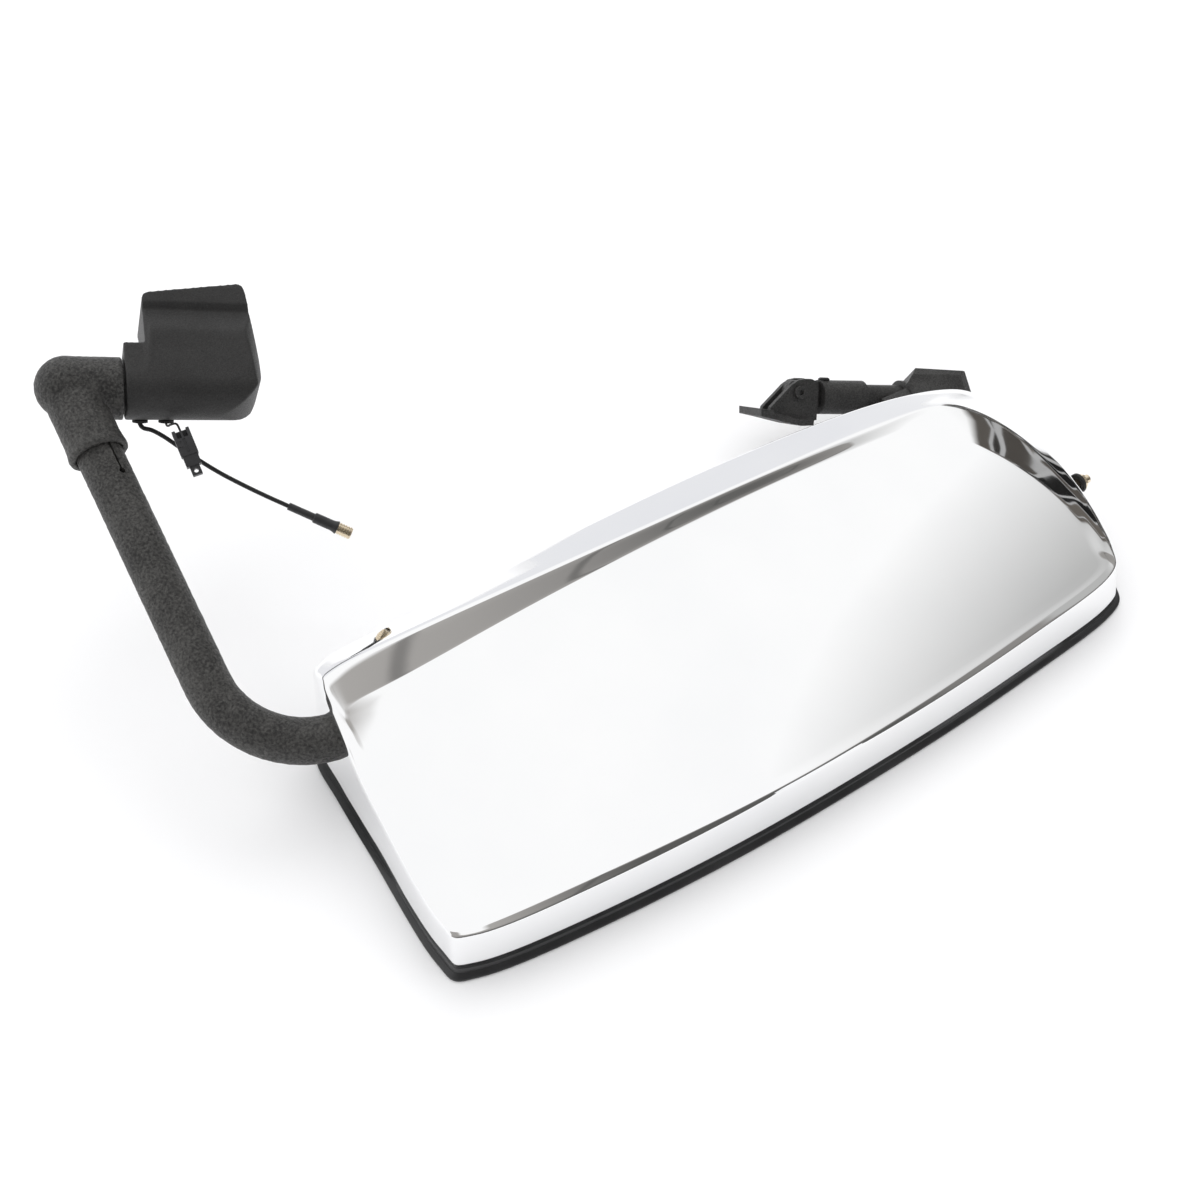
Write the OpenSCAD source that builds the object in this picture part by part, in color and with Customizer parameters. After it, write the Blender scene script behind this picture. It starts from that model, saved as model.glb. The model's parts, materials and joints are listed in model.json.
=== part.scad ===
// Heavy-vehicle door mirror with tubular arms, lying glass side down on its rim.
// Units mm. +Z up, +X along the head from its lower end to its upper end, +Y towards the hinge side.

/* [Head] */
// Thickness of the bright outer shell wall
shell_t = 1.5; // [1:0.1:3]
// Extra crown in the middle of the shell face
dome = 4; // [0:0.5:8]
// Width of the flat flange inside the rim
rim_w = 14; // [10:1:18]
// Thickness of the rim flange that lies on the floor
rim_t = 3; // [2:0.5:4]
// Gap between the rim and the edge of the glass
glass_inset = 20; // [18:1:26]

/* [Glass] */
// Height of the glass face above the rim plane
glass_z = 15.5; // [14:0.5:18]
// Glass thickness
glass_t = 2.5; // [2:0.5:4]
// Heater film thickness
heater_t = 0.5; // [0.3:0.1:1]
// Carrier plate thickness
carrier_t = 4; // [3:0.5:6]
// Position of the bar between the two glasses along the head
divider_x = -78; // [-100:1:-60]

/* [Arms] */
// Outer diameter of the long lower arm tube
arm_d = 31.8; // [25:0.1:38]
// Wall of the lower arm tube
arm_wall = 2.4; // [1.5:0.1:4]
// Centreline radius of the lower arm bend
arm_bend_r = 69; // [50:1:90]
// Angle of the lower arm bend
arm_bend = 91.3; // [80:0.1:100]
// Rise of the lower arm above the floor plane
arm_rise = 25; // [0:1:40]
// Outer diameter of the short upper tube
up_d = 22; // [18:0.5:28]
// Diameter of the lower hinge pin
pin_d = 16; // [12:0.5:20]

/* [Hidden] */
$fn = 64;

// offset of the drawing origin so the frame origin sits under the middle of the whole object
CX = 31.503; CY = 139.703;
eps = 0.01;

// ---- outline of the head: stations run counter-clockwise from the near left corner ----
rim_c = [[-262, -86, 13], [-246, -107, 10], [-162, -118, 9], [-37, -123, 8], [108, -119, 7.5],
  [225, -110, 7], [312, -99, 5], [337, -80, 4], [350, -28, 4], [356, 30, 4], [353, 85, 4],
  [332, 118, 5], [240, 129, 6], [97, 134, 6], [-60, 133, 6], [-190, 127, 5], [-243, 118, 4],
  [-258, 98, 3.5], [-260, 60, 3.5], [-261, 5, 4]];
shoulder_c = [[-259, -81, 41], [-244, -104, 40], [-161, -114.5, 40], [-37, -119.5, 40],
  [107, -115.5, 40], [222, -106, 40], [305, -95, 41], [326, -77, 49], [341, -29, 60],
  [352, 30, 63], [350, 80, 65], [329, 112, 69], [240, 126, 78], [97, 132, 80], [-60, 129, 80],
  [-190, 122, 81], [-240, 113, 84], [-251, 94, 85], [-254, 58, 78], [-258, 5, 57]];
ridge_c = [[-256, -79, 42.6], [-242, -101.5, 41.8], [-161, -112, 41.8], [-37, -117, 41.8],
  [107, -113, 41.8], [221, -103.5, 41.8], [302, -92.5, 43], [316, -76, 50.5], [328, -30, 63.5],
  [330, 28, 74], [314, 70, 83], [284, 89, 89], [223, 92, 93], [97, 91, 97], [-58, 92, 98],
  [-190, 93, 97], [-239, 91, 95], [-249, 84, 91], [-251, 57, 80], [-254.5, 5, 59]];
face_c = [[-251, -77, 43.6], [-238, -97, 42.8], [-160, -107, 42.8], [-37, -112, 42.8],
  [106, -108, 42.8], [219, -98.5, 43], [298, -88, 44.5], [309, -71, 52], [313, -32, 66],
  [299, 14, 77], [277, 50, 84], [255, 74, 88], [220, 82, 89], [96, 84.5, 88.5], [-60, 77.5, 87],
  [-190, 69, 86], [-236, 66.5, 85.5], [-246, 60, 84], [-247, 46, 76], [-249, 4, 61]];
SUB = 4;

function cr(a, b, c, d, t) =
  0.5 * (2 * b + (c - a) * t + (2 * a - 5 * b + 4 * c - d) * t * t + (3 * b - a - 3 * c + d) * t * t * t);
function ring(c) = let (n = len(c))
  [for (i = [0:n - 1]) for (j = [0:SUB - 1]) cr(c[(i + n - 1) % n], c[i], c[(i + 1) % n], c[(i + 2) % n], j / SUB)];
function unit(v) = v / norm(v);
// outward plan normals of the outline
function normals(r) = let (n = len(r))
  [for (i = [0:n - 1]) let (d = r[(i + 1) % n] - r[(i + n - 1) % n]) unit([d[1], -d[0], 0])];
rim_r = ring(rim_c);
NV = len(rim_r);
nrm = normals(rim_r);
function inset(r, k) = [for (i = [0:NV - 1]) r[i] - k * nrm[i]];
function xy(r) = [for (p = r) [p[0], p[1]]];
// outline drawn in towards the middle by k, safe round the corners
function shrink(k) = [for (p = rim_r) [47 + (p[0] - 47) * (1 - k / 303), 5 + (p[1] - 5) * (1 - k / 128)]];
// smooth height of the shell face over the plan
function face_z(x, y) = let (u = (x - 20) / 300, v = (y + 12) / 120)
  67.8 + 8 * u + 28 * v - 3.5 * u * u - 1.5 * v * v - 0.6 * u * u * u + 5.8 * u * u * v - 15.4 * u * v * v
  + dome * (1 - u * u) * (1 - v * v) * 0.8;
face_r = [for (p = ring(face_c)) [p[0], p[1], face_z(p[0], p[1])]];
mid = [20, -12];
function inner_ring(t) = [for (p = face_r)
  let (x = mid[0] + t * (p[0] - mid[0]), y = mid[1] + t * (p[1] - mid[1])) [x, y, face_z(x, y)]];
zmid = face_z(mid[0], mid[1]);
function drop(r, k) = [for (i = [0:NV - 1]) r[i] - shell_t * k * nrm[i] - [0, 0, shell_t]];

module skin(outer, otop, inner, itop) {
  // outer and inner: lists of rings from the lower edge to the middle; otop/itop close them
  no = len(outer); ni = len(inner);
  pts = concat([for (r = outer) for (p = r) p], [otop], [for (r = inner) for (p = r) p], [itop]);
  co = no * NV; ib = co + 1; ci = ib + ni * NV;
  faces = concat(
    [for (k = [0:no - 2]) for (i = [0:NV - 1]) let (j = (i + 1) % NV) [k * NV + i, (k + 1) * NV + i, (k + 1) * NV + j]],
    [for (k = [0:no - 2]) for (i = [0:NV - 1]) let (j = (i + 1) % NV) [k * NV + i, (k + 1) * NV + j, k * NV + j]],
    [for (i = [0:NV - 1]) let (j = (i + 1) % NV) [(no - 1) * NV + i, co, (no - 1) * NV + j]],
    [for (k = [0:ni - 2]) for (i = [0:NV - 1]) let (j = (i + 1) % NV) [ib + k * NV + i, ib + (k + 1) * NV + j, ib + (k + 1) * NV + i]],
    [for (k = [0:ni - 2]) for (i = [0:NV - 1]) let (j = (i + 1) % NV) [ib + k * NV + i, ib + k * NV + j, ib + (k + 1) * NV + j]],
    [for (i = [0:NV - 1]) let (j = (i + 1) % NV) [ib + (ni - 1) * NV + i, ib + (ni - 1) * NV + j, ci]],
    [for (i = [0:NV - 1]) let (j = (i + 1) % NV) [i, j, ib + j]],
    [for (i = [0:NV - 1]) let (j = (i + 1) % NV) [i, ib + j, ib + i]]);
  polyhedron(points = pts, faces = faces, convexity = 6);
}

// ---- arm and hinge geometry ----
arm_r = arm_d / 2;
arm_in = [-244, 66, 60];           // where the lower arm starts to bend, inside the head
arm_x_end = 150;                   // how far the tube reaches along the head
arm_dir = [-cos(arm_bend), sin(arm_bend) * cos(arm_rise), sin(arm_bend) * sin(arm_rise)];
arm_knee = arm_in + arm_bend_r * [-sin(arm_bend), (1 - cos(arm_bend)) * cos(arm_rise), (1 - cos(arm_bend)) * sin(arm_rise)];
arm_straight = 229;
elbow_p = arm_knee + (arm_straight + 8) * arm_dir;
up_p = [273.3, 182.6, 38];         // middle of the upper sleeve, on the same fold axis
fold_dir = unit(up_p - elbow_p);
fold_len = norm(up_p - elbow_p);
fold_tilt = acos(fold_dir[2]);
fold_turn = atan2(fold_dir[1], fold_dir[0]);
pin_r = pin_d / 2;
up_r = up_d / 2;

// fold frame: local Z along the fold axis from the lower to the upper mount,
// local X towards the door, turned by "roll"
roll0 = 112;
module fold(p, roll = roll0) translate(p) rotate([0, fold_tilt, fold_turn]) rotate([0, 0, roll]) children();
module place() translate([-CX, -CY, 0]) children();
// arm frame: local X runs down the head, local Y is the side the arm bends to
module arm_frame() translate(arm_in) rotate([arm_rise, 0, 0]) rotate([0, 180, 0]) children();

module arm_path(r, ri = 0, cut_in = 0) arm_frame() {
  L = arm_x_end - arm_in[0] - cut_in;
  translate([-L, 0, 0]) rotate([0, 90, 0]) pipe(r, ri, L + 1.5);
  // the drawn bend is a hair fuller than the straight tube
  rotate([0, 0, -90]) translate([-arm_bend_r, 0, 0]) rotate_extrude(angle = arm_bend) translate([arm_bend_r, 0]) difference() {
    circle(r = r + 0.12);
    if (ri > 0) circle(r = ri + 0.12);
  }
  translate([0, arm_bend_r, 0]) rotate([0, 0, arm_bend]) translate([-1.5, -arm_bend_r, 0]) rotate([0, 90, 0])
    pipe(r, ri, arm_straight + 1.5);
}
module pipe(r, ri, h) difference() {
  cylinder(r = r, h = h);
  if (ri > 0) translate([0, 0, -1]) cylinder(r = ri, h = h + 2);
}
// straight run of the arm inside the head
module arm_core(r) translate([-230, arm_in[1], arm_in[2]]) rotate([0, 90, 0]) cylinder(r = r, h = 460);

// ---- cord routes: round points picked along each run ----
lead_turn = 220;                   // which way the leads leave the cover, round the fold axis from the door side
function fold_side(r) = let (a = fold_turn, t = fold_tilt, q = [cos(r) * cos(t), sin(r), -cos(r) * sin(t)])
  [q[0] * cos(a) - q[1] * sin(a), q[0] * sin(a) + q[1] * cos(a), q[2]];
// straight way out of the cover: h along the fold axis, k out from it
function lead_out(h, k) = elbow_p + h * fold_dir + k * fold_side(roll0 + lead_turn);
lead_h = [48, 66];
coax_pts = concat([for (k = [19, 22, 25]) lead_out(lead_h[0], k)],
  [[-270.2, 319.6, 154.4], [-265.2, 316.2, 152.2], [-259, 310.4, 147], [-251, 302, 138], [-243, 294.8, 129],
  [-232.5, 285.5, 118.5], [-220.5, 274.8, 108.8], [-208.2, 263.8, 100], [-196, 253, 92]]);
signal_pts = concat([for (k = [19, 22, 25]) lead_out(lead_h[1], k)],
  [[-254.4, 313.8, 153.2], [-253.4, 308.8, 157.4], [-252.2, 304, 161.2], [-251.2, 300.6, 163.2], [-250.8, 297.8, 163], [-250.9, 295, 160.9]]);
coax_r = 1.6;
signal_r = 0.8;

function path_at(p, t) = let (n = len(p) - 1, k = min(floor(t), n - 1), u = t - k)
  cr(p[max(k - 1, 0)], p[k], p[k + 1], p[min(k + 2, n)], u);
function end_dir(p, per) = unit(path_at(p, len(p) - 1) - path_at(p, len(p) - 1 - 1 / per));
coax_n = 6; signal_n = 5;
plug_dir = end_dir(coax_pts, coax_n);
sig_dir = end_dir(signal_pts, signal_n);
module cord(p, r, per, sides = 8) {
  n = (len(p) - 1) * per;
  c = [for (i = [0:n]) path_at(p, i / per)];
  d = [for (i = [0:n]) unit(c[min(i + 1, n)] - c[max(i - 1, 0)])];
  rings = [for (i = [0:n]) let (s = unit(cross(d[i], [0, 0, 1])), t = cross(s, d[i]))
    for (k = [0:sides - 1]) c[i] + r * (cos(360 * k / sides) * s + sin(360 * k / sides) * t)];
  faces = concat([[for (k = [0:sides - 1]) k]],
    [for (i = [0:n - 1]) for (k = [0:sides - 1]) let (a = i * sides + k, b = i * sides + (k + 1) % sides) [a, a + sides, b]],
    [for (i = [0:n - 1]) for (k = [0:sides - 1]) let (a = i * sides + k, b = i * sides + (k + 1) % sides) [b, a + sides, b + sides]],
    [[for (k = [sides - 1:-1:0]) n * sides + k]]);
  polyhedron(points = rings, faces = faces, convexity = 6);
}
module along(p, d) translate(p) rotate([0, acos(d[2]), atan2(d[1], d[0])]) children();

// ================= head =================
module chrome_shell() place() color([0.86, 0.87, 0.88]) {
  outer = [rim_r, ring(shoulder_c), ring(ridge_c), face_r, inner_ring(0.88), inner_ring(0.7), inner_ring(0.48), inner_ring(0.25)];
  t = shell_t;
  low = [for (i = [0:NV - 1]) [rim_r[i][0], rim_r[i][1], rim_r[i][2]] - t * nrm[i]];
  inner = [low, drop(outer[1], 1), drop(outer[2], 0.6), drop(outer[3], 0.1), drop(outer[4], 0), drop(outer[5], 0), drop(outer[6], 0), drop(outer[7], 0)];
  difference() {
    skin(outer, [mid[0], mid[1], zmid], inner, [mid[0], mid[1], zmid - t]);
    // way out for the lower arm
    arm_path(arm_r + 0.6, 0, 200);
    // way in for the upper arm block
    translate([299, 100, 19.5]) cube([24, 40, 20]);
    // antenna stud
    translate([320, -12, 50]) rotate([0, 90, 0]) cylinder(r = 5, h = 50);
  }
}

module rim_frame() place() color([0.12, 0.12, 0.12]) {
  top = [for (i = [0:NV - 1]) [rim_r[i][0], rim_r[i][1], rim_r[i][2] - 0.4]];
  a = inset(rim_r, 0.7); b = inset(rim_r, 3.4);
  pts = concat([for (p = a) [p[0], p[1], 0]], [for (i = [0:NV - 1]) [a[i][0], a[i][1], top[i][2]]],
    [for (i = [0:NV - 1]) [b[i][0], b[i][1], top[i][2]]], [for (p = b) [p[0], p[1], 0]]);
  polyhedron(points = pts, convexity = 6, faces = [for (k = [0:3]) for (i = [0:NV - 1])
    let (j = (i + 1) % NV, m = (k + 1) % 4) each [[k * NV + i, m * NV + i, m * NV + j], [k * NV + i, m * NV + j, k * NV + j]]]);
  difference() {
    linear_extrude(rim_t) polygon(xy(inset(rim_r, 3.3)));
    translate([0, 0, -1]) linear_extrude(rim_t + 2) polygon(shrink(1.2 + rim_w));
  }
  difference() {
    linear_extrude(9.5) polygon(shrink(5.8));
    translate([0, 0, -1]) linear_extrude(12) polygon(shrink(8));
  }
  intersection() {
    translate([divider_x - 6, -125, 0]) cube([12, 260, rim_t]);
    linear_extrude(rim_t) polygon(shrink(rim_w));
  }
}

cradle_x = [-120, 100];
module inner_frame() place() color([0.2, 0.2, 0.21]) difference() {
  union() {
    translate([-205, 46, 39]) cube([467, 51, 4]);
    translate([-200, 46, 39]) cube([415, 4, 15]);
    translate([-150, -38, 51]) cube([365, 88, 3]);
    translate([-190, -20, 51]) cube([60, 40, 3]);
    for (y = [-34, 16]) translate([divider_x - 4, y, rim_t]) cube([8, 8, 49]);
    for (l = [[-140, 116], [40, 120.5], [200, 117]]) {
      translate([l[0] - 8, 90, 39]) cube([16, l[1] + 5 - 90, 4]);
      translate([l[0] - 8, l[1], rim_t]) cube([16, 5, 38]);
    }
    translate([250, 78, 39]) cube([68, 34.5, 4]);
    for (x = cradle_x) translate([x - 15, 36, 43]) cube([30, 60, 17]);
  }
  arm_core(arm_r);
  for (x = cradle_x, y = [41, 91]) translate([x, y, 45]) cylinder(r = 2.6, h = 20);
  translate([310, 108.5, 30]) cylinder(r = 2.8, h = 20);
}

module tube_cap(x) difference() {
  union() {
    translate([x - 15, 66, 60]) rotate([0, 90, 0]) cylinder(r = 20.5, h = 30);
    for (y = [36, 81]) translate([x - 15, y, 60.3]) cube([30, 15, 5]);
  }
  arm_core(arm_r + 0.02);
  translate([x - 16, 30, 30]) cube([32, 72, 30.3]);
  for (y = [41, 91]) translate([x, y, 50]) cylinder(r = 3.2, h = 40);
  for (y = [41, 91]) translate([x, y, 65.3]) cylinder(r = 6, h = 20);
}
module tube_cap_lower() place() color([0.2, 0.2, 0.21]) tube_cap(cradle_x[0]);
module tube_cap_upper() place() color([0.2, 0.2, 0.21]) tube_cap(cradle_x[1]);
module cap_screws() place() color([0.75, 0.76, 0.78]) {
  for (x = cradle_x, y = [41, 91]) translate([x, y, 47]) {
    cylinder(r = 2.6, h = 18.3 + eps);
    translate([0, 0, 18.3]) difference() {
      cylinder(r = 5, h = 3.2);
      translate([0, 0, 1.4]) cylinder(r = 2.4, h = 3, $fn = 6);
    }
  }
}

// ================= lower arm and its hinge =================
module lower_arm_tube() place() color([0.1, 0.1, 0.1]) difference() {
  arm_path(arm_r, arm_r - arm_wall);
  // clamping slit with a round end
  along(elbow_p, -arm_dir) rotate([0, 0, 150]) {
    translate([8, -0.75, 0]) cube([12, 1.5, 78]);
    translate([0, 0, 79]) rotate([0, 90, 0]) translate([0, 0, 8]) cylinder(r = 2.2, h = 12);
  }
}

module lower_elbow() place() color([0.1, 0.1, 0.1]) difference() {
  union() {
    fold(elbow_p) {
      sphere(r = 22.4);
      cylinder(r = 22, h = 36);
    }
    along(elbow_p, -arm_dir) {
      cylinder(r = 19.8, h = 56);
      translate([0, 0, 53]) rotate_extrude() translate([17.8, 0]) circle(r = 3, $fn = 24);
    }
  }
  along(elbow_p, -arm_dir) {
    translate([0, 0, 8]) cylinder(r = arm_r, h = 60);
    // set screw hole
    translate([0, 0, 30]) rotate([0, 90, 200]) cylinder(r = 2.5, h = 30);
  }
  fold(elbow_p) translate([0, 0, 20]) cylinder(r = pin_r, h = 20);
}
module elbow_set_screw() place() color([0.3, 0.3, 0.31])
  along(elbow_p, -arm_dir) translate([0, 0, 30]) rotate([0, 90, 200]) difference() {
    translate([0, 0, arm_r + 0.02]) cylinder(r = 2.5, h = 3.4);
    translate([0, 0, arm_r + 1.8]) cylinder(r = 1.3, h = 3, $fn = 6);
  }

module hinge_pin() place() color([0.72, 0.73, 0.75]) fold(elbow_p) {
  translate([0, 0, 20]) cylinder(r = pin_r, h = 66);
  translate([0, 0, 86 - eps]) cylinder(r = 6, h = 25);
}
module hinge_bush() place() color([0.72, 0.52, 0.25]) fold(elbow_p) difference() {
  translate([0, 0, 40]) cylinder(r = 11, h = 38);
  translate([0, 0, 39]) cylinder(r = pin_r + 0.05, h = 40);
}
module thrust_washer() place() color([0.7, 0.71, 0.73]) fold(elbow_p) difference() {
  translate([0, 0, 83]) cylinder(r = 14.5, h = 2.6);
  translate([0, 0, 82]) cylinder(r = pin_r + 0.05, h = 5);
}
module disc_springs() place() color([0.55, 0.56, 0.58]) fold(elbow_p)
  for (k = [0:3]) translate([0, 0, 86.1 + 3.4 * k]) mirror([0, 0, k % 2]) translate([0, 0, (k % 2) * -3.3])
    rotate_extrude() polygon([[6.3, 1.6], [13.5, 0], [13.5, 1.5], [6.3, 3.1]]);
module hinge_nut() place() color([0.7, 0.71, 0.73]) fold(elbow_p) difference() {
  translate([0, 0, 99.8]) cylinder(r = 11, h = 9, $fn = 6);
  translate([0, 0, 99]) cylinder(r = 6, h = 12);
}

// profile of the cover seen along its width: [distance along the fold axis, distance towards the door]
function cover_side(k) = concat(
  [[37 + k, -22 + k], [101, -22 + k]],
  [for (a = [-80:10:-10]) [101 + (32 - k) * cos(a), 10 + (32 - k) * sin(a)]],
  [[133 - k, 10], [124 - k, 71 + (k > 0 ? 8 : 0)], [52 + k, 61.3 + (k > 0 ? 8 : 0)],
   [52 + k, 27 - k], [37 + k, 27 - k]]);
// profile across: [distance towards the door, half width]
module cover_across(k) polygon(concat([for (a = [84:8:276]) (22 - k) * [cos(a), sin(a)]],
  [[34, -26 + k], [52.5, -21 + k], [56, -24 + k], [90, -27 + k], [90, 27 - k], [56, 24 - k], [52.5, 21 - k], [34, 26 - k]]));
module cover_body(k) intersection() {
  // along the width
  rotate([0, 0, 0]) rotate([90, 0, 0]) translate([0, 0, -40]) linear_extrude(80) polygon([for (p = cover_side(k)) [p[1], p[0]]]);
  translate([0, 0, 30]) linear_extrude(120) cover_across(k);
}
module mount_cover() place() color([0.11, 0.11, 0.11]) fold(elbow_p) difference() {
  cover_body(0);
  cover_body(3);
  translate([0, 0, 30]) cylinder(r = 17.3, h = 12);
  // ways out for the coax and the signal wire
  for (z = lead_h) rotate([0, 0, lead_turn]) translate([15, 0, z]) rotate([0, 90, 0]) cylinder(r = 4, h = 12);
  for (z = [62, 104]) translate([26, -10, z]) rotate([90, 0, 0]) cylinder(r = 2.4, h = 30);
}
module lead_grommets() place() color([0.06, 0.06, 0.06]) fold(elbow_p) for (l = [[lead_h[0], coax_r], [lead_h[1], signal_r]])
  rotate([0, 0, lead_turn]) translate([18.4, 0, l[0]]) rotate([0, 90, 0]) difference() {
    union() {
      cylinder(r = 3.98, h = 5);
      translate([0, 0, 3.7]) cylinder(r = 5.4, h = 1.8);
    }
    translate([0, 0, -1]) cylinder(r = l[1] + 0.02, h = 9);
  }
module cover_screws() place() color([0.25, 0.25, 0.26]) fold(elbow_p)
  for (z = [62, 104]) translate([26, 0, z]) rotate([90, 0, 0]) {
    translate([0, 0, 12]) cylinder(r = 2, h = 13.7);
    translate([0, 0, 25.6]) difference() {
      cylinder(r = 4.2, h = 2.4);
      translate([0, 0, 1]) cylinder(r = 1.6, h = 3, $fn = 6);
    }
  }
plate_tilt = 7.7;
module mount_base() place() color([0.18, 0.18, 0.18]) fold(elbow_p) difference() {
  union() {
    translate([0, 0, 36.4]) cylinder(r = 17, h = 45.6);
    translate([0, -14, 56]) cube([60, 28, 26]);
    translate([16, -14, 56]) cube([44, 28, 56]);
    translate([58, -14, 84]) cube([5.5, 28, 28]);
    translate([60.4, 0, 91]) rotate([0, plate_tilt, 0]) translate([0, -20.2, -34.8]) cube([6, 40.4, 64]);
  }
  translate([0, 0, 36]) cylinder(r = 11, h = 60);
  // clearance round the washers and the nut
  translate([0, 0, 82]) cylinder(r = 15.5, h = 40);
  for (z = [62, 104]) translate([26, 0, z]) rotate([90, 0, 0]) cylinder(r = 2, h = 20);
  // door bolt holes, clear through to the cover side
  translate([60.4, 0, 91]) rotate([0, plate_tilt, 0]) for (a = [45:90:315]) rotate([a, 0, 0]) translate([-5, 0, 21]) rotate([0, 90, 0]) cylinder(r = 4.3, h = 20);
}

// ================= upper arm and its bracket =================
module upper_arm_block() place() color([0.1, 0.1, 0.1]) difference() {
  union() {
    fold(up_p, roll0) {
      translate([0, 0, 56]) cylinder(r = 15, h = 27);
      intersection() {
        translate([0, 0, 56]) linear_extrude(64) polygon([[-10, -4], [20, -4], [20, 17], [12, 20], [-10, 20]]);
        rotate([90, 0, 0]) translate([0, 0, -30]) linear_extrude(60)
          polygon([[-10, 56], [4, 56], [20, 70], [17.5, 120], [-10, 120]]);
        rotate([90, 0, 90]) translate([0, 0, -30]) linear_extrude(60)
          polygon([[-4, 50], [20, 50], [20, 112], [17, 120], [-4, 120]]);
      }
    }
    translate([300, 104.5, 20]) cube([22, 48.5, 19]);
    translate([300, 140, 14]) cube([42, 22, 25]);
  }
  fold(up_p, roll0) translate([0, 0, 20]) cylinder(r = up_r, h = 58);
  translate([310, 108.5, 24]) cylinder(r = 2.6, h = 30);
}
module block_screw() place() color([0.75, 0.76, 0.78]) translate([310, 108.5, 0]) {
  translate([0, 0, 24.5]) cylinder(r = 2.59, h = 18.51);
  translate([0, 0, 43]) difference() {
    cylinder(r = 4.1, h = 3);
    translate([0, 0, 1.2]) cylinder(r = 1.8, h = 3, $fn = 6);
  }
}
module upper_tube() place() color([0.1, 0.1, 0.1]) fold(up_p) difference() {
  translate([0, 0, -16]) cylinder(r = up_r, h = 94);
  translate([0, 0, -17]) cylinder(r = up_r - 2.5, h = 96);
}
foot_roll = -34;
foot_bolt_at = [-4, 0, -46];        // in the sleeve's frame
bolt_r = 3.5;
module upper_sleeve() place() color([0.1, 0.1, 0.1]) fold(up_p, foot_roll) difference() {
  union() {
    translate([0, 0, -24]) cylinder(r = up_r + 3.3, h = 42.5);
    translate([-13, -4, -46]) cube([21, 8, 24]);
    translate(foot_bolt_at + [0, -4, 0]) rotate([-90, 0, 0]) cylinder(r = 10, h = 8);
  }
  translate([0, 0, -16.3]) cylinder(r = up_r + 0.05, h = 40);
  translate(foot_bolt_at + [0, -6, 0]) rotate([-90, 0, 0]) cylinder(r = bolt_r + 0.05, h = 12);
  translate([0, 0, -18.3]) rotate([0, -90, 0]) cylinder(r = 2.5, h = 30);
}
module sleeve_grease_cap() place() color([0.15, 0.15, 0.15]) fold(up_p, foot_roll) translate([0, 0, -18.3]) rotate([0, -90, 0]) {
  translate([0, 0, up_r + 0.3]) cylinder(r = 2.5, h = 3.1);
  translate([0, 0, up_r + 3.32]) cylinder(r = 4.8, h = 1.2);
  translate([0, 0, up_r + 4.5]) cylinder(r1 = 4.8, r2 = 3.4, h = 0.9);
}
// profiles of the bracket: [distance along the fold axis from the bolt, distance below it]
ear_pts = [[-27.5, 18], [-26.5, 12.5], [-17, 3], [-8, -6], [-2, -10], [4, -11.3], [11, -11.3], [15.5, -9.5],
  [17.6, -6], [17.6, 22.5], [8, 25.5], [-1, 24]];
foot_pts = [[-41, 13], [-40.6, 19.2], [-28, 21.655], [-3, 27], [9, 26.5], [9, 21.4], [-3, 21.9], [-27, 16.76], [-30, 14.2]];
module side_plate(pts, t) rotate([90, 0, 90]) rotate([90, 0, 90]) translate([0, 0, -t / 2]) linear_extrude(t) polygon(pts);
module foot_bracket() place() color([0.12, 0.12, 0.12]) fold(up_p, foot_roll) translate(foot_bolt_at) difference() {
  union() {
    for (s = [-1, 1]) translate([0, s * 6.8, 0]) side_plate(ear_pts, 5);
    side_plate(foot_pts, 40);
  }
  translate([0, -12, 0]) rotate([-90, 0, 0]) cylinder(r = bolt_r, h = 24);
  // two door screw holes through the foot
  for (y = [-14.5, 14.5]) translate([24.22, y, -16]) rotate([0, 102.07, 0]) translate([0, 0, -12]) cylinder(r = 3.3, h = 30);
}
module foot_bolt() place() color([0.3, 0.3, 0.31]) fold(up_p, foot_roll) translate(foot_bolt_at) rotate([90, 0, 0]) {
  translate([0, 0, -12.6]) cylinder(r = bolt_r, h = 21.95);
  translate([0, 0, 9.32]) difference() {
    cylinder(r = 5.6, h = 3.4);
    translate([0, 0, 1.2]) cylinder(r = 2.4, h = 4, $fn = 6);
  }
}
module foot_nut() place() color([0.3, 0.3, 0.31]) fold(up_p, foot_roll) translate(foot_bolt_at) rotate([90, 0, 0]) difference() {
  translate([0, 0, -14.6]) cylinder(r = 6.4, h = 5.2, $fn = 6);
  translate([0, 0, -17]) cylinder(r = bolt_r, h = 10);
}

// ================= glass, carriers and drive =================
main_c = [120, 0]; spot_c = [-163, 0]; pivot_z = 30;
spot_R = 3800;
module glass_outline(k, a, b) intersection() {
  polygon(shrink(glass_inset + k));
  translate([a, -200]) square([b - a, 400]);
}
m_lo = divider_x + 8; s_hi = divider_x - 8;
z1 = glass_z + glass_t; z2 = z1 + heater_t; z3 = z2 + carrier_t;
module main_glass() place() color([0.6, 0.65, 0.7]) translate([0, 0, glass_z]) linear_extrude(glass_t) glass_outline(0, m_lo, 400);
module main_heater() place() color([0.75, 0.4, 0.15]) translate([0, 0, z1]) linear_extrude(heater_t) glass_outline(12, m_lo + 12, 400);
module lugs(c, along_x) translate([c[0], c[1], 0]) rotate([0, 0, along_x ? 0 : 90])
  for (s = [-1, 1]) translate([s * 10.5 - 2, -5, 0]) children();
module cross_at(c) translate([c[0], c[1], pivot_z]) {
  rotate([0, 90, 0]) translate([0, 0, -12.5]) cylinder(r = 3, h = 25);
  rotate([90, 0, 0]) translate([0, 0, -12.5]) cylinder(r = 3, h = 25);
  translate([-4.5, -4.5, -4.5]) cube(9);
}
module carrier_top(c, z) difference() {
  lugs(c, true) translate([0, 0, z]) cube([4, 10, pivot_z + 4.5 - z]);
  translate([c[0] - 20, c[1], pivot_z]) rotate([0, 90, 0]) cylinder(r = 3.05, h = 40);
}
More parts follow.
